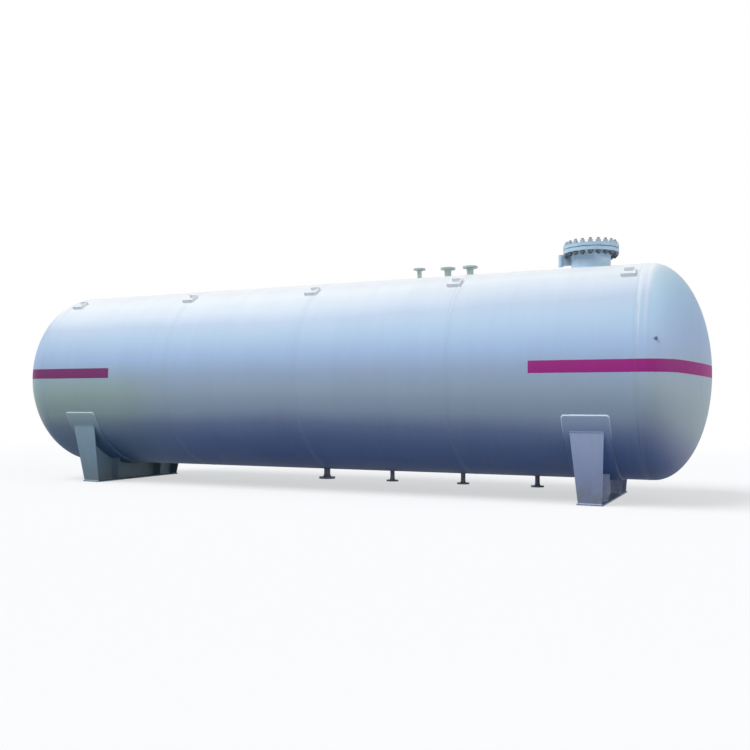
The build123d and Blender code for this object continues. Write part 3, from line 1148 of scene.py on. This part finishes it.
def makeStuds():
    s, m = studs, manhole
    rods, nuts, washers = Shape(), Shape(), Shape()
    top, bottom = crown + m["coverTop"], crown + m["flangeBack"]
    stacked = s["washerHeight"] + s["nutHeight"] - s["threadInNut"]
    for i in range(m["boltCount"]):
        angle = math.radians((i + 0.5) * 360 / m["boltCount"])
        x, y = m["pitchRadius"] * math.cos(angle), m["pitchRadius"] * math.sin(angle)
        centre = Vector((m["x"] + x, y, 0))
        shift = chance.uniform(-s["shift"], s["shift"])
        low, high = bottom - s["bottomOut"] + shift, top + s["topOut"] + shift
        rows = studRows(low, high, bottom - stacked, top + stacked)
        addTurned(rods, centre, rows, s["threadSides"], threadRadius)
        for end, base in ((1, top), (-1, bottom)):
            rows = nutRows(end, angle + chance.uniform(-0.5, 0.5))
            centre.z = base + end * s["washerHeight"]
            addTurned(nuts, centre, rows, s["nutSides"], nutRadius)
            centre.z = base
            addTurned(washers, centre, washerRows(end), s["washerSides"])
    makePiece("manhole_studs", rods, studMetal)
    makePiece("manhole_nuts", nuts, nutMetal, 0.35)
    makePiece("manhole_washers", washers, nutMetal, 0.5)


makeStuds()
print("manhole studs made")


# plugged boss on the right end
boss = {
    "place": (4.480, -1.2345, 1.872),
    "radius": 0.017,
    "height": 0.020,
    "sunk": 0.012,
    "edge": 0.002,
    "sides": 32,
    "beadParts": 40,
    "plugHalfFlat": 0.010,
    "plugHeight": 0.014,
    "plugTop": ((0.0012, 1.0), (0.0004, 0.95), (0.0, 0.88)),  # depth and share of the radius
    "plugSides": 48,
}


def plugRadius(turn, row):
    return min(boss["plugHalfFlat"] / math.cos(turn % sixth - sixth / 2), row[1])


def makeBoss():
    b = boss
    shape, centre = Shape(), Vector((0, 0, 0))
    face = b["height"]
    rows = [
        (-b["sunk"], b["radius"]),
        (face - b["edge"], b["radius"]),
        (face, b["radius"] - b["edge"]),
        (face, b["plugHalfFlat"] * 1.25),
    ]
    addTurned(shape, centre, rows, b["sides"])
    # small fillet where it is welded on
    leg = beadSizes["smallLeg"]
    up = Vector((0, 0, leg))
    ring = [(out * b["radius"], out * leg, up) for out in spokes(b["beadParts"])]
    addBead(shape, ring, filletProfile, True, 0.04)
    # hexagon plug
    top = face + b["plugHeight"]
    full = b["plugHalfFlat"] / math.cos(sixth / 2)
    rows = [(face - b["edge"], full)]
    rows += [(top - depth, full * share) for depth, share in b["plugTop"]]
    addTurned(shape, centre, rows, b["plugSides"], plugRadius)
    # stood square on the dished end, which is an ellipsoid
    x, y, z = b["place"]
    x -= tank["halfStraight"]
    z -= axisHeight
    normal = Vector((x / tank["headDepth"] ** 2, y / outerRadius ** 2, z / outerRadius ** 2))
    turn = normal.normalized().to_track_quat("Z", "Y").to_matrix()
    shape.verts = [turn @ vert + Vector(b["place"]) for vert in shape.verts]
    makePiece("head_boss_plug", shape, bossPaint, 0.5)


makeBoss()
print("boss made")


# floor, sky and lamps
studio = {
    "floorSize": 90.0,
    "floorColour": (0.90, 0.90, 0.90),
    "floorBounce": (0.22, 0.24, 0.29),
    "floorGlow": 0.60,  # close to the tank; it rises to 1 by fadeTo
    "fadeFrom": 6.0,
    "fadeTo": 22.0,
    "skyLight": (0.23, 0.26, 0.30),
    "sunFrom": (-0.42, -0.42, 0.80),
    "sunEnergy": 2.70,
    "sunAngle": 40.0,
    "fillFrom": (0.93, -0.15, 0.02),
    "fillEnergy": 1.60,
    "fillAngle": 70.0,
}


def seenDirectly(start):
    # 1 for the camera, mirrors and glass, 0 for light that falls on things
    names = ("Is Camera Ray", "Is Glossy Ray", "Is Transmission Ray")
    return highest([start.add("ShaderNodeLightPath", output=name) for name in names])


def addStudio():
    size = studio["floorSize"]
    corners = [(-size, -size, 0), (size, -size, 0), (size, size, 0), (-size, size, 0)]
    mesh = bpy.data.meshes.new("floor")
    mesh.from_pydata(corners, [], [(0, 1, 2, 3)])
    floor = bpy.data.objects.new("floor", mesh)
    bpy.context.collection.objects.link(floor)
    material, start, place = startMaterial("floorPaint")
    seen = seenDirectly(start)
    colour = seen.tint(studio["floorBounce"], studio["floorColour"])
    matt = start.add("ShaderNodeBsdfDiffuse", {}, {"Color": colour})
    glow = start.add("ShaderNodeEmission", {}, {"Color": (1, 1, 1, 1), "Strength": 1.0})
    x, y, _ = splitPlace(place)
    away = (x ** 2.0 + y ** 2.0) ** 0.5
    fade = away.rise(studio["fadeFrom"], studio["fadeTo"])
    share = seen * (fade * (1 - studio["floorGlow"]) + studio["floorGlow"])
    mixed = start.add("ShaderNodeMixShader", {}, {0: share, 1: matt, 2: glow})
    start.add("ShaderNodeOutputMaterial", {}, {"Surface": mixed})
    mesh.materials.append(material)

    world = bpy.data.worlds.new("studio")
    start = startTree(world)
    colour = seenDirectly(start).tint(studio["skyLight"], (1, 1, 1))
    sky = start.add("ShaderNodeBackground", {}, {"Color": colour, "Strength": 1.0})
    start.add("ShaderNodeOutputWorld", {}, {"Surface": sky})
    bpy.context.scene.world = world

    for name in ("sun", "fill"):
        data = bpy.data.lights.new(name, "SUN")
        data.energy = studio[name + "Energy"]
        data.angle = math.radians(studio[name + "Angle"])
        lamp = bpy.data.objects.new(name, data)
        bpy.context.collection.objects.link(lamp)
        lamp.rotation_mode = "QUATERNION"
        lamp.rotation_quaternion = Vector(studio[name + "From"]).to_track_quat("Z", "Y")


addStudio()
bpy.context.scene.view_settings.view_transform = "Standard"
print("studio lit")
